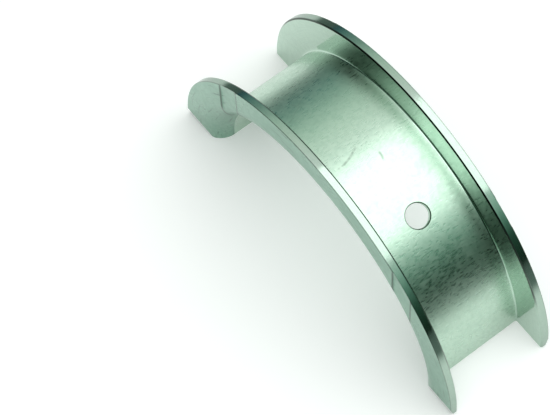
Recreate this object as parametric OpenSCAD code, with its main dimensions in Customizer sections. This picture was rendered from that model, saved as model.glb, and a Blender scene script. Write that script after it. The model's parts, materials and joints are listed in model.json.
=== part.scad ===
// Flanged half shell of an engine main bearing.
// It stands as an arch on its two parting faces, with the crown up.
// X runs across the two parting faces, Y along the journal axis and Z up to the crown.
// The origin is on the journal axis, halfway along the shell, in the parting plane.

/* [Journal and wall] */
// Diameter of the bore that runs on the journal
journal_d = 60; // [40:0.5:90]
// Thickness of the wall between the bore and the housing
wall_t = 2; // [1.6:0.1:4]
// Length over the two thrust faces
shell_l = 22.6; // [18:0.1:40]

/* [Thrust flanges] */
// Height of a flange above the wall's outer surface
flange_h = 7; // [5:0.1:12]
// Thickness of a flange
flange_t = 1.6; // [1.3:0.1:3]
// Radius of the flare from the bore out to a thrust face
flare_r = 4.2; // [1.5:0.1:5]
// Least metal left between the flare and the corner behind the flange
neck_t = 0.7; // [0.4:0.05:1]
// Radius in the corner between the wall and a flange
corner_r = 0.3; // [0.2:0.05:0.8]
// Chamfer on the rim where it meets the thrust face
rim_chamfer = 0.05; // [0.05:0.05:0.5]
// Edge break on the rim where it meets the flange's inner face
rim_break = 0.25; // [0.05:0.05:0.4]

/* [Oil feed] */
// Diameter of the oil hole through the wall
oil_hole_d = 4.5; // [2:0.1:8]
// Angle of the oil hole from the crown, towards +X
oil_hole_angle = 28; // [-60:1:60]
// Edge break around the oil hole, on the housing side
oil_hole_break = 0.2; // [0.05:0.05:0.4]
// Width of the oil groove around the bore, at the bore's surface
oil_groove_w = 5.4; // [4.5:0.1:8]
// Depth of the oil groove
oil_groove_depth = 1; // [0.4:0.1:1.2]
// How far each side of the oil groove leans in on the way to its floor
oil_groove_lean = 0.3; // [0.1:0.05:0.6]

/* [Thrust face grooves] */
// Width of a groove across a thrust face, at the face
thrust_groove_w = 4.9; // [2:0.1:7]
// Depth of such a groove
thrust_groove_depth = 0.25; // [0.15:0.05:0.8]
// How far each side of the groove leans in on the way to its floor
thrust_groove_lean = 0.35; // [0.1:0.05:1]
// Angle of a groove's middle from the crown, on the middle of the flange
thrust_groove_angle = 43.5; // [25:0.5:60]

/* [Parting ends] */
// Height of the tapered relief on a thrust face, above the parting plane
relief_h = 2.2; // [1:0.1:4]
// Depth of the relief at the parting plane
relief_depth = 0.6; // [0.2:0.05:0.9]

/* [Hidden] */
$fn = 180;

// Half circle that the shell spans
half_turn = 180;
// How far a cutter reaches past the surface that it cuts
overshoot = 1;

bore_r = journal_d / 2;
housing_r = bore_r + wall_t;
flange_r = housing_r + flange_h;
half_l = shell_l / 2;
flange_back = half_l - flange_t;

// Largest flare that leaves neck_t between its arc and the corner behind the flange
neck_room = wall_t + flange_t - neck_t;
neck_limit = neck_room + sqrt(2 * (wall_t - neck_t) * (flange_t - neck_t));
flare = min(flare_r, neck_limit);

thrust_groove_x = (housing_r + flange_h / 2) * sin(thrust_groove_angle);

// Square corner of a given size with its hollow side rounded, drawn from the corner outwards
module hollow_corner(size) {
    difference() {
        square(size);
        translate([size, size])
            circle(r = size);
    }
}

// One flange and its half of the wall, as radius against distance along the journal axis
module half_section() {
    difference() {
        union() {
            translate([bore_r, 0])
                square([wall_t, half_l]);
            translate([bore_r, flange_back])
                square([flange_r - bore_r, flange_t]);
            translate([housing_r, flange_back])
                mirror([0, 1])
                    hollow_corner(corner_r);
        }
        translate([bore_r, half_l])
            mirror([0, 1])
                hollow_corner(flare);
        translate([flange_r, half_l])
            polygon([[-rim_chamfer, 0], [overshoot, overshoot], [0, -rim_chamfer]]);
        translate([flange_r, flange_back])
            polygon([[-rim_break, 0], [overshoot, -overshoot], [0, rim_break]]);
        oil_groove_section();
    }
}

// Section of the oil groove, sunk into the bore on one side of the shell's middle
module oil_groove_section() {
    polygon([
        [bore_r - overshoot, 0],
        [bore_r - overshoot, oil_groove_w / 2],
        [bore_r, oil_groove_w / 2],
        [bore_r + oil_groove_depth, oil_groove_w / 2 - oil_groove_lean],
        [bore_r + oil_groove_depth, 0]
    ]);
}

// Whole section of the shell
module section() {
    half_section();
    mirror([0, 1])
        half_section();
}

// Section swept round the journal axis from one parting face to the other
module half_ring() {
    rotate([90, 0, 0])
        rotate_extrude(angle = half_turn)
            section();
}

// Oil hole through the wall into the oil groove, with its outer edge broken
module oil_hole() {
    rotate([0, oil_hole_angle, 0]) {
        cylinder(d = oil_hole_d, h = housing_r + overshoot);
        translate([0, 0, housing_r - oil_hole_break])
            cylinder(d1 = oil_hole_d, d2 = oil_hole_d + 2 * (oil_hole_break + overshoot), h = oil_hole_break + overshoot);
    }
}

// Groove straight up a thrust face, from the flare out to the rim
module thrust_groove() {
    linear_extrude(height = flange_r + overshoot)
        polygon([
            [-thrust_groove_w / 2, half_l],
            [-thrust_groove_w / 2, half_l + overshoot],
            [thrust_groove_w / 2, half_l + overshoot],
            [thrust_groove_w / 2, half_l],
            [thrust_groove_w / 2 - thrust_groove_lean, half_l - thrust_groove_depth],
            [-thrust_groove_w / 2 + thrust_groove_lean, half_l - thrust_groove_depth]
        ]);
}

// Tapered relief across both ends of one thrust face
module end_relief() {
    reach = flange_r + overshoot;
    translate([-reach, 0, 0])
        rotate([90, 0, 90])
            linear_extrude(height = 2 * reach)
                polygon([
                    [half_l - 2 * relief_depth, -relief_h],
                    [half_l + relief_depth, 2 * relief_h],
                    [half_l + relief_depth, -relief_h]
                ]);
}

// Everything that is cut into one thrust face
module thrust_face_cuts() {
    for (side = [-1, 1])
        translate([side * thrust_groove_x, 0, 0])
            thrust_groove();
    end_relief();
}

// The whole shell in one piece
module bearing_shell() {
    color("silver")
        difference() {
            half_ring();
            oil_hole();
            thrust_face_cuts();
            mirror([0, 1, 0])
                thrust_face_cuts();
        }
}

bearing_shell();
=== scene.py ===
"""Looks of a flanged engine bearing shell: its finely rounded mesh, its tin-flashed finish and the stage.

The shell stands as an arch on its parting faces.
X runs across them, Y along the journal axis and Z up to the crown.
"""

import json
import math

import bmesh
import bpy
from bpy.props import FloatProperty, FloatVectorProperty, PointerProperty
from mathutils import Matrix, Vector


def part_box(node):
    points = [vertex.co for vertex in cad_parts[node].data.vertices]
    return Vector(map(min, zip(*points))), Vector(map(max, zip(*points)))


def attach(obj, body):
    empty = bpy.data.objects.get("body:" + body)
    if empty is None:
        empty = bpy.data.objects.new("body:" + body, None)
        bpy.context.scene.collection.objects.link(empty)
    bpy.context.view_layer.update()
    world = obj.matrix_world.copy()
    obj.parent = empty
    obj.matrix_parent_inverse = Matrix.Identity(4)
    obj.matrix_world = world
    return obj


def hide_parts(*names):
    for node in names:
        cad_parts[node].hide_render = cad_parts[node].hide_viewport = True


bl_info = {
    "name": "Bearing shell looks",
    "version": (1, 0, 0),
    "blender": (4, 5, 0),
    "location": "3D View > Sidebar > Bearing shell",
    "description": "Builds the flanged bearing shell with its finish, and the stage that it stands on",
    "category": "Object",
}

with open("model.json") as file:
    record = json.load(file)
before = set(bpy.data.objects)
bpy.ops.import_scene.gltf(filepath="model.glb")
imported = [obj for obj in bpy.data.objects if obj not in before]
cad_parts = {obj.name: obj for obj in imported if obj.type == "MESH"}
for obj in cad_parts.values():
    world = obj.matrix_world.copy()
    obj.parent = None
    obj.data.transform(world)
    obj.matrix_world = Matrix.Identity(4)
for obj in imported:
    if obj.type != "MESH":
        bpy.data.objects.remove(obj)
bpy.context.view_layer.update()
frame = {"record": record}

NODE = "bearing_shell"
_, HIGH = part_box(NODE)
MOUNTS = {mount["name"]: mount for mount in frame["record"]["mounts"]}
MM = 0.001
MICRON = 1e-6
SCORE_DEPTH = 4 * MICRON

# Cells of noise per metre round the shell, along it and out from its axis
CLOUDS = (140.0, 140.0, 140.0)
SPECKS = (1100.0, 1100.0, 1100.0)
HAIRS = (95.0, 60.0, 95.0)
RUB_MARKS = (200.0, 900.0, 1800.0)
DRAWN = (2800.0, 800.0, 0.0)
POLISHED = (90.0, 90.0, 4500.0)
TURNED = (120.0, 5000.0, 0.0)
GROUND = (700.0, 700.0, 3500.0)
SAWN = (400.0, 3500.0, 400.0)

DARK_WALL = (0.008, 0.02, 0.012)

JOURNAL_R = MOUNTS["journal_bore"]["dims"]["r_mm"] * MM
OIL_HOLE_R = MOUNTS["oil_hole"]["dims"]["r_mm"] * MM
OIL_HOLE_AXIS = Vector(MOUNTS["oil_hole"]["axis"])
FLANGE_R = HIGH.z
HALF_LENGTH = HIGH.y


def length(name, description, default):
    """A size in metres that a user may change."""
    return FloatProperty(
        name=name,
        description=description,
        default=default,
        min=0.0,
        precision=5,
        unit="LENGTH",
        subtype="DISTANCE",
    )


def share(name, description, default):
    """A number between nought and one that a user may change."""
    return FloatProperty(
        name=name, description=description, default=default, min=0.0, max=1.0, subtype="FACTOR"
    )


def colour(name, description, default):
    """A colour that a user may change."""
    return FloatVectorProperty(
        name=name, description=description, default=default, size=3, min=0.0, max=1.0, subtype="COLOR"
    )


class ShellSizes(bpy.types.PropertyGroup):
    """Sizes of the shell's section and of the cuts in it."""

    bore_r: length("Bore radius", "Radius of the bore that runs on the journal", JOURNAL_R)
    wall: length("Wall", "Thickness between the bore and the housing", 2.0 * MM)
    half_length: length("Half length", "From the middle of the shell to a thrust face", HALF_LENGTH)
    flange_r: length("Flange radius", "Outer radius of the flanges", FLANGE_R)
    flange: length("Flange", "Thickness of a flange", 1.6 * MM)
    flare: length("Flare", "Radius from the bore out to a thrust face", 4.2 * MM)
    corner: length("Corner", "Radius between the wall and a flange", 0.3 * MM)
    rim_chamfer: length("Rim chamfer", "Chamfer between the rim and a thrust face", 0.05 * MM)
    rim_break: length("Rim break", "Edge break between the rim and a flange's inner face", 0.25 * MM)
    edge: length("Edge rounding", "Rounding of the remaining edges", 0.08 * MM)
    parting_edge: length("Parting edge", "Rounding of the edges of the parting faces", 0.025 * MM)
    hole_r: length("Oil hole radius", "Radius of the oil hole", OIL_HOLE_R)
    hole_break: length("Oil hole break", "Edge break around the oil hole", 0.2 * MM)
    groove_width: length("Oil groove width", "Width of the oil groove at the bore", 5.4 * MM)
    groove_depth: length("Oil groove depth", "Depth of the oil groove", 1.0 * MM)
    groove_lean: length("Oil groove lean", "How far each side leans in to the floor", 0.3 * MM)
    thrust_width: length("Thrust groove width", "Width of a groove in a thrust face", 4.9 * MM)
    thrust_depth: length("Thrust groove depth", "Depth of a groove in a thrust face", 0.25 * MM)
    thrust_lean: length("Thrust groove lean", "How far each side leans in to the floor", 0.35 * MM)
    thrust_angle: FloatProperty(
        name="Thrust groove angle",
        description="Angle of a thrust groove from the crown",
        default=math.radians(43.5),
        unit="ROTATION",
        subtype="ANGLE",
    )
    relief_height: length("Relief height", "Height of the relief at each end of a thrust face", 2.2 * MM)
    relief_depth: length("Relief depth", "Depth of the relief at the parting plane", 0.6 * MM)


class ShellFinish(bpy.types.PropertyGroup):
    """Colours and gloss of the tin-flashed metal."""

    tin: colour("Tin", "Tin flash on the wall, the bore and the parting faces", (0.50, 0.655, 0.54))
    back: colour("Flange", "Tin flash on the flanges' inner faces", (0.44, 0.595, 0.49))
    rim: colour("Rim", "Turned metal of the rims", (0.39, 0.50, 0.425))
    thrust: colour("Thrust face", "Machined metal of the thrust faces", (0.275, 0.445, 0.35))
    stain: colour("Stain", "What the colour is multiplied by where it is stained", (0.80, 0.86, 0.84))
    score: share("Scratches", "How much of the colour is left in a scratch", 0.60)
    # How much colour is left under painted shade along the rim's edges, the thrust grooves' sides and the oil
    # hole's edge break, and under real dirt in the rub marks
    shade_and_dirt: share("Dirt", "How much of the colour is left under dirt", 0.20)
    wall_roughness: share("Wall roughness", "Roughness of the outer wall", 0.32)
    rim_roughness: share("Rim roughness", "Roughness of the rims", 0.13)
    back_roughness: share("Flange roughness", "Roughness of the flanges' inner faces", 0.11)
    thrust_roughness: share("Thrust roughness", "Roughness of the thrust faces", 0.30)
    bore_roughness: share("Bore roughness", "Roughness of the bore", 0.22)
    parting_roughness: share("Parting roughness", "Roughness of the parting faces", 0.32)


class StageSettings(bpy.types.PropertyGroup):
    """Floor, light and camera."""

    floor_tint: colour("Floor", "Colour of the floor around the shell", (0.90, 0.90, 0.90))
    # painted shade: the colour that the floor darkens to far from the shell
    floor_painted_shade: colour("Floor edge", "Colour of the floor far from the shell", (0.16, 0.20, 0.185))
    floor_glow: share("Floor glow", "How much whiter than its lit colour the floor looks", 0.14)
    floor_middle: FloatVectorProperty(
        name="Floor middle",
        description="Middle of the pale part of the floor",
        default=(-0.013, 0.005, 0.0),
        size=3,
        unit="LENGTH",
        subtype="XYZ",
    )
    floor_near: length("Floor fade start", "How far from its middle the floor begins to darken", 0.078)
    floor_far: length("Floor fade end", "How far from its middle the floor has darkened", 0.12)
    floor_r: length("Floor radius", "Radius of the round floor", 2.0)
    lamp_place: FloatVectorProperty(
        name="Lamp place",
        description="Where the soft overhead lamp hangs",
        default=(0.060, 0.030, 0.255),
        size=3,
        unit="LENGTH",
        subtype="XYZ",
    )
    lamp_width: length("Lamp width", "Width of the soft overhead lamp, across the shell", 0.276)
    lamp_depth: length("Lamp depth", "Depth of the soft overhead lamp, along the journal axis", 0.5)
    lamp_level: FloatProperty(
        name="Lamp level", description="Brightness of the lamp's face, where 1 is white", default=1.2, min=0.0
    )
    camera_place: FloatVectorProperty(
        name="Camera place",
        description="Where the camera stands",
        default=(0.15864, -0.12620, 0.42179),
        size=3,
        unit="LENGTH",
        subtype="XYZ",
    )
    camera_aim: FloatVectorProperty(
        name="Camera aim",
        description="Point in the middle of the picture",
        default=(-0.00656, -0.01496, 0.01600),
        size=3,
        unit="LENGTH",
        subtype="XYZ",
    )
    camera_roll: FloatProperty(
        name="Camera roll",
        description="Turn of the camera about its line of sight",
        default=math.radians(-4.08),
        unit="ROTATION",
        subtype="ANGLE",
    )
    camera_lens: FloatProperty(
        name="Lens", description="Focal length on a 36 mm sensor", default=166.0, min=1.0
    )


class Wire:
    """An output socket that takes part in Python expressions."""

    def __init__(self, bench, socket):
        self.bench = bench
        self.socket = socket

    def __add__(self, other):
        return self.bench.math("ADD", self, other)

    __radd__ = __add__

    def __sub__(self, other):
        return self.bench.math("SUBTRACT", self, other)

    def __rsub__(self, other):
        return self.bench.math("SUBTRACT", other, self)

    def __mul__(self, other):
        return self.bench.math("MULTIPLY", self, other)

    __rmul__ = __mul__

    def __truediv__(self, other):
        return self.bench.math("DIVIDE", self, other)

    def __rtruediv__(self, other):
        return self.bench.math("DIVIDE", other, self)


class Bench:
    """A node tree in the making."""

    def __init__(self, tree):
        self.tree = tree
        tree.nodes.clear()

    def add(self, kind, settings=None, sockets=None, out=0):
        """Adds a node from its type, its settings and the values or wires of its sockets."""
        node = self.tree.nodes.new(kind)
        for key, value in (settings or {}).items():
            if key == "stops":
                self.set_stops(node.color_ramp, value)
            else:
                setattr(node, key, value)
        for key, value in (sockets or {}).items():
            if isinstance(value, Wire):
                self.tree.links.new(value.socket, node.inputs[key])
            else:
                node.inputs[key].default_value = value
        return Wire(self, node.outputs[out]) if len(node.outputs) else node

    @staticmethod
    def set_stops(ramp, stops):
        """Gives a colour ramp its stops, as place and grey level or colour."""
        while len(ramp.elements) > 1:
            ramp.elements.remove(ramp.elements[-1])
        for index, (place, level) in enumerate(stops):
            element = ramp.elements[0] if index == 0 else ramp.elements.new(place)
            element.position = place
            element.color = (*level, 1.0) if isinstance(level, tuple) else (level, level, level, 1.0)

    def math(self, operation, *values):
        """A Math node on values or wires."""
        return self.add("ShaderNodeMath", {"operation": operation}, dict(enumerate(values)))

    def limit(self, value, low, high):
        """How far a value lies between two limits, from nought to one."""
        return self.add(
            "ShaderNodeMapRange",
            {"clamp": True, "interpolation_type": "SMOOTHSTEP"},
            {"Value": value, "From Min": low, "From Max": high},
        )

    def blend(self, factor, first, second):
        """A colour between two colours."""
        return self.add("ShaderNodeMix", {"data_type": "RGBA"}, {0: factor, 6: first, 7: second}, out=2)

    def point(self, x, y, z):
        """A vector from three values."""
        return self.add("ShaderNodeCombineXYZ", None, {"X": x, "Y": y, "Z": z})

    def noise(self, vector, detail=2.0, roughness=0.5, distortion=0.0):
        """Grey noise around one half."""
        return self.add(
            "ShaderNodeTexNoise",
            {"noise_dimensions": "3D"},
            {
                "Vector": vector,
                "Scale": 1.0,
                "Detail": detail,
                "Roughness": roughness,
                "Distortion": distortion,
            },
        )


def tint(value):
    """A colour property as the four numbers of a colour socket."""
    return (*value, 1.0)


class ShellCoordinates:
    """Where a shaded point lies on the shell: round it, along it and out from the journal axis."""

    def __init__(self, bench, sizes):
        place = bench.add("ShaderNodeTexCoord", out=3)
        split = bench.add("ShaderNodeSeparateXYZ", None, {0: place}).socket.node
        x, y, z = (Wire(bench, socket) for socket in split.outputs)
        self.place = place
        self.x, self.z = x, z
        self.along = y
        self.radius = bench.math("SQRT", x * x + z * z)
        self.angle = bench.math("ARCTAN2", z, x)
        self.arc = self.angle * (sizes.bore_r + sizes.wall)
        self.bench = bench

    def stretched(self, round_scale, along_scale, radial_scale):
        """A vector for noise, with its own scale in each direction, in cells per metre."""
        return self.bench.point(self.arc * round_scale, self.along * along_scale, self.radius * radial_scale)


def stroke(spot, start, stop, width):
    """A thin straight mark on the outer wall between two places, each as arc and along."""
    run, rise = stop[0] - start[0], stop[1] - start[1]
    reach = math.hypot(run, rise)
    run, rise = run / reach, rise / reach
    arc, along = spot.arc - start[0], spot.along - start[1]
    down = arc * run + along * rise
    past = spot.bench.math("ABSOLUTE", down - reach / 2) - reach / 2
    aside = spot.bench.math("ABSOLUTE", along * run - arc * rise)
    away = spot.bench.math("MAXIMUM", past, aside)
    return spot.bench.limit(away, width, 0.25 * width)


def rim_painted_shade(spot, sizes):
    """Painted shade: a dark line in the rim's inner edge break, away from the ends, and a faint dark line on
    its outer edge, both standing in for dark reflections at a glancing angle.
    """
    bench = spot.bench
    reach = bench.math("ABSOLUTE", spot.along)
    past = reach - (sizes.half_length - sizes.flange)
    inner = bench.limit(past, 1.3 * sizes.rim_break, 0.6 * sizes.rim_break)
    inner = inner * bench.limit(spot.z, 0.32 * sizes.flange_r, 0.44 * sizes.flange_r)
    outer = bench.limit(sizes.half_length - reach, 3.5 * sizes.rim_chamfer, 2.0 * sizes.rim_chamfer)
    return bench.math("MAXIMUM", inner, outer * 0.5)


def thrust_shade_and_rub_marks(spot, sizes):
    """Painted shade along the sides of the grooves in a thrust face, and real dirt in short marks rubbed by
    the collar.
    """
    bench = spot.bench
    middle_r = (sizes.bore_r + sizes.wall + sizes.flange_r) / 2
    across = bench.math("ABSOLUTE", spot.x)
    offset = bench.math("ABSOLUTE", across - middle_r * math.sin(sizes.thrust_angle))
    aside = bench.math("ABSOLUTE", offset - sizes.thrust_width / 2)
    # painted shade: dark lines where the groove sides meet the thrust face
    painted_groove_shade = bench.limit(aside, 0.9 * sizes.thrust_lean, 0.3 * sizes.thrust_lean) * 0.8
    rub = bench.noise(spot.stretched(*RUB_MARKS), 2.0, 0.5, 0.2)
    return bench.math("MAXIMUM", painted_groove_shade, bench.limit(rub, 0.60, 0.76) * 0.6)


def hole_painted_shade(spot, sizes):
    """Painted shade: an even dark ring in the broken edge of the oil hole."""
    bench = spot.bench
    ledge = sizes.hole_break
    sockets = {0: spot.place, 1: OIL_HOLE_AXIS}
    aside = bench.add("ShaderNodeVectorMath", {"operation": "CROSS_PRODUCT"}, sockets)
    past = bench.add("ShaderNodeVectorMath", {"operation": "LENGTH"}, {0: aside}, out=1) - sizes.hole_r
    return bench.limit(past, 0.1 * ledge, 0.3 * ledge) * bench.limit(past, 1.6 * ledge, 1.2 * ledge)


def tin_material(
    name, finish, sizes, tone, roughness, grain, height, stain, marks=(), shade_and_dirt=None, uneven=0.1, glance=1.0
):
    """Tin-flashed metal with a grain, cloudy staining, hairline scratches and a fine bump.

    Grain gives its cells per metre round the shell, along it and out from its axis, and height is in metres.
    Uneven is how far the roughness follows the grain.
    Glance is how much of the sheen is left at a flat angle.
    """
    material = bpy.data.materials.new(name)
    material.use_nodes = True
    bench = Bench(material.node_tree)
    spot = ShellCoordinates(bench, sizes)
    coarse = bench.noise(spot.stretched(*grain), 1.0, 0.5, 0.7)
    fine = bench.noise(spot.stretched(*(2.7 * cells for cells in grain)), 1.0, 0.5, 0.3)
    cloud = bench.noise(spot.stretched(*CLOUDS), 4.0, 0.55)
    speck = bench.noise(spot.stretched(*SPECKS), 2.0, 0.6)
    hair = bench.noise(spot.stretched(*HAIRS), 2.0, 0.4, 1.5)
    hairline = bench.limit(bench.math("ABSOLUTE", hair - 0.5), 0.0035, 0.0) * bench.limit(cloud, 0.5, 0.62)
    score = hairline * 0.35
    for start, stop, width in marks:
        scratch = stroke(spot, start, stop, width) * bench.limit(speck, 0.25, 0.62)
        score = bench.math("MAXIMUM", score, scratch)
    film = bench.limit(cloud, 0.42, 0.75) * stain * 0.6 + bench.limit(speck, 0.42, 0.66) * stain
    film = bench.math("MAXIMUM", film, bench.limit(coarse, 0.50, 0.36) * stain)
    stained = [part * keep for part, keep in zip(tone, finish.stain)]
    scored = [part * finish.score for part in tone]
    base = bench.blend(film, tint(tone), tint(stained))
    base = bench.blend((coarse - 0.5) * 0.5 + 0.25, base, tint(tone))
    base = bench.blend(score, base, tint(scored))
    # darkens by painted shade at edges and groove sides, and by real dirt in rub marks
    if shade_and_dirt:
        base = bench.blend(shade_and_dirt(spot, sizes), base, tint([part * finish.shade_and_dirt for part in tone]))
    rough = roughness + (coarse - 0.5) * uneven + (cloud - 0.5) * 0.14 + score * 0.12
    relief = (coarse + fine * 0.35) * height - score * SCORE_DEPTH
    bump = bench.add("ShaderNodeBump", None, {"Strength": 1.0, "Distance": 1.0, "Height": relief})
    shader = bench.add(
        "ShaderNodeBsdfPrincipled",
        None,
        {
            "Base Color": base,
            "Metallic": 1.0,
            "Roughness": rough,
            "Specular Tint": tint([glance] * 3),
            "Normal": bump,
        },
    )
    bench.add("ShaderNodeOutputMaterial", None, {"Surface": shader})
    return material


ZONES = ("outer_wall", "flange_back", "rim", "thrust_face", "bore", "parting_face")


def shell_materials(finish, sizes):
    """One finish for each zone of the shell, in the order of ZONES."""
    housing_r = sizes.bore_r + sizes.wall

    def place(angle, along):
        return math.radians(angle) * housing_r, along * MM

    marks = [
        (place(91.0, -1.4), place(89.3, -3.3), 0.30 * MM),
        (place(89.3, -3.3), place(88.5, -4.9), 0.30 * MM),
        (place(88.5, -4.9), place(88.4, -6.4), 0.24 * MM),
        (place(85.7, 1.4), place(82.5, 1.1), 0.32 * MM),
    ]
    zones = {
        "outer_wall": {
            "tone": finish.tin,
            "roughness": finish.wall_roughness,
            "grain": DRAWN,
            "height": 14 * MICRON,
            "stain": 0.65,
            "marks": marks,
            "uneven": 0.35,
        },
        "flange_back": {
            "tone": finish.back,
            "roughness": finish.back_roughness,
            "grain": POLISHED,
            "height": 1.5 * MICRON,
            "stain": 0.5,
        },
        "rim": {
            "tone": finish.rim,
            "roughness": finish.rim_roughness,
            "grain": TURNED,
            "height": 1.5 * MICRON,
            "stain": 0.4,
            # painted shade along the rim's inner and outer edges
            "shade_and_dirt": rim_painted_shade,
            "glance": 0.7,
        },
        "thrust_face": {
            "tone": finish.thrust,
            "roughness": finish.thrust_roughness,
            "grain": GROUND,
            "height": 4 * MICRON,
            "stain": 1.0,
            # painted shade at the groove sides, and real dirt in rub marks
            "shade_and_dirt": thrust_shade_and_rub_marks,
        },
        "bore": {
            "tone": finish.tin,
            "roughness": finish.bore_roughness,
            "grain": TURNED,
            "height": 2 * MICRON,
            "stain": 0.4,
            # painted shade in the oil hole's edge break
            "shade_and_dirt": hole_painted_shade,
        },
        "parting_face": {
            "tone": finish.tin,
            "roughness": finish.parting_roughness,
            "grain": SAWN,
            "height": 3 * MICRON,
            "stain": 0.5,
        },
    }
    return [tin_material(zone + "_tin", finish, sizes, **zones[zone]) for zone in ZONES]


def rounded_outline(nodes, step):
    """Points along a line of (radius, along, rounding, zone after it), with each corner rounded."""
    points = []

    def run(start, stop, zone):
        cells = max(1, math.ceil((stop - start).length / step[zone]))
        for index in range(cells):
            points.append((start.lerp(stop, index / cells), zone))

    here = Vector(nodes[0][:2])
    zone = nodes[0][3]
    for before, node, after in zip(nodes, nodes[1:], nodes[2:]):
        corner = Vector(node[:2])
        back = (Vector(before[:2]) - corner).normalized()
        onward = (Vector(after[:2]) - corner).normalized()
        half = back.angle(onward) / 2
        reach = node[2] / math.tan(half)
        centre = corner + (back + onward).normalized() * (node[2] / math.sin(half))
        start = corner + back * reach
        run(here, start, zone)
        first = start - centre
        swing = first.angle_signed(corner + onward * reach - centre)
        turns = max(3, math.ceil(abs(swing) * node[2] / step[node[4]]))
        for index in range(turns):
            turn = Matrix.Rotation(-swing * index / turns, 2)
            points.append((centre + turn @ first, node[4]))
        here = corner + onward * reach
        zone = node[3]
    stop = Vector(nodes[-1][:2])
    run(here, stop, zone)
    points.append((stop, zone))
    return points


def shell_outline(sizes):
    """Closed section of the shell as points (radius, along), and the zone after each of them."""
    housing_r = sizes.bore_r + sizes.wall
    back = sizes.half_length - sizes.flange
    floor_r = sizes.bore_r + sizes.groove_depth
    mouth = sizes.groove_width / 2
    step = {
        "outer_wall": 0.9 * MM,
        "flange_back": 0.6 * MM,
        "rim": 0.4 * MM,
        "thrust_face": 0.36 * MM,
        "bore": 0.5 * MM,
    }
    half = rounded_outline(
        [
            (floor_r, 0.0, 0.0, "bore", "bore"),
            (floor_r, mouth - sizes.groove_lean, 0.15 * MM, "bore", "bore"),
            (sizes.bore_r, mouth, sizes.edge, "bore", "bore"),
            (sizes.bore_r, sizes.half_length, sizes.flare, "thrust_face", "thrust_face"),
            (sizes.flange_r - sizes.rim_chamfer, sizes.half_length, sizes.parting_edge, "rim", "rim"),
            (sizes.flange_r, sizes.half_length - sizes.rim_chamfer, sizes.parting_edge, "rim", "rim"),
            (sizes.flange_r, back + sizes.rim_break, sizes.edge, "rim", "rim"),
            (sizes.flange_r - sizes.rim_break, back, sizes.edge, "flange_back", "rim"),
            (housing_r, back, sizes.corner, "outer_wall", "flange_back"),
            (housing_r, 0.0, 0.0, "outer_wall", "outer_wall"),
        ],
        step,
    )
    zones = [zone for _, zone in half[:-1]]
    near = [(point.x, point.y) for point, _ in half]
    far = [(radius, -along) for radius, along in reversed(near[1:-1])]
    return near + far, zones + zones[::-1]


def sweep_angles(sizes):
    """Angles of the shell's cross sections, closer together at the ends and along the thrust grooves."""
    middle_r = (sizes.bore_r + sizes.wall + sizes.flange_r) / 2
    inner = middle_r * math.sin(sizes.thrust_angle) - sizes.thrust_width / 2
    outer = inner + sizes.thrust_width
    groove_low = math.acos(min(1.0, outer / (sizes.bore_r + sizes.wall)))
    groove_high = math.acos(inner / sizes.flange_r)
    end_zone = 2 * sizes.relief_height / sizes.bore_r
    fine, coarse = math.radians(0.2), math.radians(0.8)
    ends = [sizes.parting_edge * part / sizes.flange_r for part in (0.0, 0.15, 0.4, 0.7, 1.0, 1.6)]
    angles = list(ends)
    while angles[-1] < math.pi / 2:
        angle = angles[-1]
        dense = angle < end_zone or groove_low < angle + fine and angle < groove_high
        angles.append(angle + (fine if dense else coarse))
    quarter = [angle for angle in angles if angle < math.pi / 2 - fine]
    return quarter + [math.pi / 2] + [math.pi - angle for angle in reversed(quarter)]


def thrust_limit(sizes, x, z):
    """How far along the axis the shell reaches at a place on a thrust face, under its grooves and reliefs."""
    middle_r = (sizes.bore_r + sizes.wall + sizes.flange_r) / 2
    offset = abs(abs(x) - middle_r * math.sin(sizes.thrust_angle))
    sunk = (sizes.thrust_width / 2 - offset) / sizes.thrust_lean
    shoulder = (sizes.flange_r - math.hypot(x, z)) / sizes.flange
    groove = sizes.thrust_depth * min(1.0, max(0.0, sunk)) * min(1.0, 0.3 + 0.7 * max(0.0, shoulder))
    relief = sizes.relief_depth * max(0.0, 1.0 - z / sizes.relief_height)
    return sizes.half_length - max(groove, relief)


def outline_normals(outline):
    """Outward direction at each point of the section."""
    normals = []
    count = len(outline)
    for index in range(count):
        before = Vector(outline[index - 1])
        after = Vector(outline[(index + 1) % count])
        along = (after - before).normalized()
        normals.append(Vector((-along.y, along.x)))
    return normals


def shell_mesh(sizes):
    """The swept shell with its thrust grooves, reliefs and rounded parting edges."""
    outline, zones = shell_outline(sizes)
    normals = outline_normals(outline)
    angles = sweep_angles(sizes)
    mesh = bmesh.new()
    rings = []
    for angle in angles:
        ring = []
        for (radius, along), normal in zip(outline, normals):
            height = radius * math.sin(angle)
            left = max(0.0, sizes.parting_edge - height)
            tuck = sizes.parting_edge - math.sqrt(sizes.parting_edge**2 - left**2)
            out = min(radius - normal.x * tuck, sizes.flange_r - tuck)
            x, z = out * math.cos(angle), out * math.sin(angle)
            limit = thrust_limit(sizes, x, z) - tuck
            y = max(-limit, min(limit, along - normal.y * tuck))
            ring.append(mesh.verts.new((x, y, z)))
        rings.append(ring)
    count = len(outline)
    for first, second in zip(rings, rings[1:]):
        for index in range(count):
            after = (index + 1) % count
            face = mesh.faces.new((first[index], first[after], second[after], second[index]))
            face.material_index = ZONES.index(zones[index])
            face.smooth = True
    for ring in (rings[0], rings[-1]):
        cap = mesh.faces.new(ring)
        cap.material_index = ZONES.index("parting_face")
    bmesh.ops.remove_doubles(mesh, verts=mesh.verts, dist=0.2 * MICRON)
    bmesh.ops.recalc_face_normals(mesh, faces=mesh.faces)
    data = bpy.data.meshes.new(NODE + "_skin")
    mesh.to_mesh(data)
    mesh.free()
    return data


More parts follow.
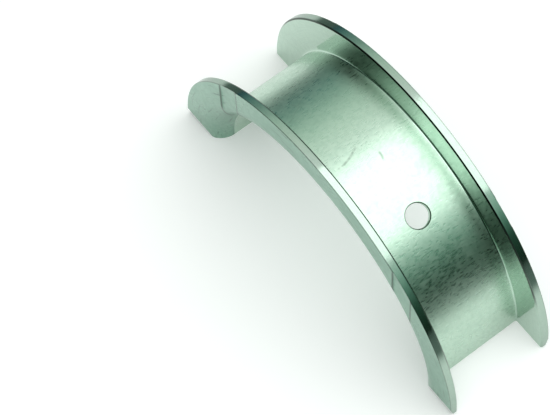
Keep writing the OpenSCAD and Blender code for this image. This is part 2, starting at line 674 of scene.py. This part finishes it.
def hole_cutter(sizes):
    """A round cutter for the oil hole, wider where it breaks the outer edge."""
    housing_r = sizes.bore_r + sizes.wall
    reach = 2 * sizes.wall
    ledge = sizes.hole_break
    profile = [
        (sizes.hole_r, housing_r - reach, 0.0),
        (sizes.hole_r, housing_r - 1.2 * ledge, 1.0),
        (sizes.hole_r + 0.25 * ledge, housing_r - 0.7 * ledge, 1.0),
        (sizes.hole_r + ledge, housing_r, 1.0),
        (sizes.hole_r + ledge + reach, housing_r + reach, 0.0),
    ]
    sides = 96
    turn = Vector((0.0, 0.0, 1.0)).rotation_difference(OIL_HOLE_AXIS).to_matrix()
    mesh = bmesh.new()
    rings = []
    for radius, height, bend in profile:
        ring = []
        for side in range(sides):
            angle = math.tau * side / sides
            aside = radius * math.cos(angle)
            sag = bend * (housing_r - math.sqrt(housing_r**2 - aside**2))
            ring.append(mesh.verts.new(turn @ Vector((aside, radius * math.sin(angle), height - sag))))
        rings.append(ring)
    for low, high in zip(rings, rings[1:]):
        for side in range(sides):
            after = (side + 1) % sides
            face = mesh.faces.new((low[side], low[after], high[after], high[side]))
            face.material_index = ZONES.index("bore")
            face.smooth = True
    mesh.faces.new(rings[0])
    mesh.faces.new(rings[-1])
    bmesh.ops.triangulate(mesh, faces=mesh.faces)
    bmesh.ops.recalc_face_normals(mesh, faces=mesh.faces)
    data = bpy.data.meshes.new("oil_hole_cutter")
    mesh.to_mesh(data)
    mesh.free()
    return data


def add_object(name, data):
    """A new object in the scene."""
    made = bpy.data.objects.new(name, data)
    bpy.context.scene.collection.objects.link(made)
    return made


class BEARING_OT_shell(bpy.types.Operator):
    """Build the shell with its rounded edges, oil hole, grooves and finish"""

    bl_idname = "bearing.shell"
    bl_label = "Bearing shell"

    def execute(self, context):
        sizes = context.scene.shell_sizes
        materials = shell_materials(context.scene.shell_finish, sizes)
        skin = add_object("bearing_shell_skin", shell_mesh(sizes))
        cutter = add_object("oil_hole_cutter", hole_cutter(sizes))
        for piece in (skin, cutter):
            for material in materials:
                piece.data.materials.append(material)
        drill = skin.modifiers.new("Oil hole", "BOOLEAN")
        drill.operation = "DIFFERENCE"
        drill.solver = "EXACT"
        drill.object = cutter
        drilled = bpy.data.meshes.new_from_object(skin.evaluated_get(context.evaluated_depsgraph_get()))
        skin.modifiers.clear()
        skin.data = drilled
        bpy.data.objects.remove(cutter)
        if not drilled.polygons:
            raise RuntimeError("the oil hole left no shell")
        drilled.set_sharp_from_angle(angle=math.radians(38.0))
        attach(skin, "root")
        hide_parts(NODE)
        return {"FINISHED"}


def floor_material(stage):
    """Plain pale matt floor whose colour darkens away from the shell, as painted shade in place of light
    falling off.
    """
    material = bpy.data.materials.new("pale_floor")
    material.use_nodes = True
    bench = Bench(material.node_tree)
    place = bench.add("ShaderNodeTexCoord", out=3)
    ends = {0: place, 1: stage.floor_middle}
    away = bench.add("ShaderNodeVectorMath", {"operation": "DISTANCE"}, ends, out=1)
    # painted shade: the floor's colour darkens with distance from the shell
    fade = bench.limit(away, stage.floor_near, stage.floor_far)
    base = bench.blend(fade, tint(stage.floor_tint), tint(stage.floor_painted_shade))
    rays = bench.add("ShaderNodeLightPath").socket.node.outputs
    seen = [Wire(bench, rays[ray]) for ray in ("Is Camera Ray", "Is Glossy Ray", "Is Transmission Ray")]
    glow = bench.limit(seen[0] + seen[1] + seen[2], 0.0, 1.0) * (1.0 - fade) * stage.floor_glow
    shader = bench.add(
        "ShaderNodeBsdfPrincipled",
        None,
        {
            "Base Color": base,
            "Roughness": 0.9,
            "Specular IOR Level": 0.1,
            "Emission Color": bench.point(glow, glow, glow),
            "Emission Strength": 1.0,
        },
    )
    bench.add("ShaderNodeOutputMaterial", None, {"Surface": shader})
    return material


def light_world(scene):
    """Studio walls and ceiling: dim at the horizon, brighter towards the lamp."""
    world = bpy.data.worlds.new("studio")
    scene.world = world
    world.use_nodes = True
    bench = Bench(world.node_tree)
    direction = bench.add("ShaderNodeTexCoord", out=0)
    split = bench.add("ShaderNodeSeparateXYZ", None, {0: direction}).socket.node
    x, y, z = (Wire(bench, socket) for socket in split.outputs)
    height = bench.math("ARCSINE", z) / (math.pi / 2)
    right = bench.add(
        "ShaderNodeValToRGB",
        {
            "stops": [
                (0.0, DARK_WALL),
                (0.20, (0.035, 0.095, 0.065)),
                (0.31, (0.17, 0.34, 0.27)),
                (0.42, (0.52, 0.74, 0.65)),
                (0.55, (0.98, 1.05, 1.02)),
                (0.70, (1.15, 1.15, 1.15)),
            ]
        },
        {"Fac": height},
    )
    left = bench.add(
        "ShaderNodeValToRGB",
        {
            "stops": [
                (0.0, (0.05, 0.12, 0.15)),
                (0.08, (0.14, 0.28, 0.27)),
                (0.22, (0.33, 0.47, 0.42)),
                (0.36, (0.65, 0.79, 0.71)),
                (0.55, (0.96, 1.02, 0.96)),
                (0.70, (1.15, 1.15, 1.15)),
            ]
        },
        {"Fac": height},
    )
    side = bench.limit(x, -0.6, 0.6)
    walls = bench.blend(side, left, right)
    front = bench.limit(y, 0.2, -0.2) * bench.limit(height, 0.60 + side * 0.2, 0.15)
    walls = bench.blend(front, walls, tint(DARK_WALL))
    light = bench.add("ShaderNodeBackground", None, {"Color": walls, "Strength": 1.0})
    bench.add("ShaderNodeOutputWorld", None, {"Surface": light})


class BEARING_OT_stage(bpy.types.Operator):
    """Set up the floor, the soft light and the camera"""

    bl_idname = "bearing.stage"
    bl_label = "Stage"

    def execute(self, context):
        scene = context.scene
        stage = scene.bearing_stage
        scene.view_settings.view_transform = "Standard"

        mesh = bmesh.new()
        bmesh.ops.create_circle(mesh, cap_ends=True, segments=128, radius=stage.floor_r)
        data = bpy.data.meshes.new("floor")
        mesh.to_mesh(data)
        mesh.free()
        floor = add_object("floor", data)
        floor.data.materials.append(floor_material(stage))

        light_world(scene)
        lamp = bpy.data.lights.new("soft_lamp", "AREA")
        lamp.shape = "RECTANGLE"
        lamp.size, lamp.size_y = stage.lamp_width, stage.lamp_depth
        lamp.energy = stage.lamp_level * math.pi * stage.lamp_width * stage.lamp_depth
        holder = add_object("soft_lamp", lamp)
        holder.location = stage.lamp_place
        x, y, z = stage.lamp_place
        holder.rotation_euler = (-math.atan2(y, z), math.atan2(x, z), 0.0)
        holder.visible_camera = False

        lens = bpy.data.cameras.new("camera")
        lens.lens = stage.camera_lens
        lens.sensor_width = 36.0
        lens.clip_start, lens.clip_end = 0.01, 20.0
        camera = add_object("camera", lens)
        place, aim = Vector(stage.camera_place), Vector(stage.camera_aim)
        sight = (aim - place).to_track_quat("-Z", "Y").to_matrix().to_4x4()
        roll = Matrix.Rotation(stage.camera_roll, 4, "Z")
        camera.matrix_world = Matrix.Translation(place) @ sight @ roll
        scene.camera = camera
        return {"FINISHED"}


class BEARING_PT_panel(bpy.types.Panel):
    """Sidebar panel that lists the shell and the stage"""

    bl_idname = "BEARING_PT_panel"
    bl_label = "Bearing shell"
    bl_space_type = "VIEW_3D"
    bl_region_type = "UI"
    bl_category = "Bearing shell"

    def draw(self, context):
        for operator in (BEARING_OT_shell, BEARING_OT_stage):
            self.layout.operator(operator.bl_idname)


CLASSES = (ShellSizes, ShellFinish, StageSettings, BEARING_OT_shell, BEARING_OT_stage, BEARING_PT_panel)


def register():
    for made in CLASSES:
        bpy.utils.register_class(made)
    bpy.types.Scene.shell_sizes = PointerProperty(type=ShellSizes)
    bpy.types.Scene.shell_finish = PointerProperty(type=ShellFinish)
    bpy.types.Scene.bearing_stage = PointerProperty(type=StageSettings)


def unregister():
    del bpy.types.Scene.bearing_stage
    del bpy.types.Scene.shell_finish
    del bpy.types.Scene.shell_sizes
    for made in reversed(CLASSES):
        bpy.utils.unregister_class(made)


def main():
    register()
    bpy.ops.bearing.shell()
    bpy.ops.bearing.stage()


if __name__ == "__main__":
    main()
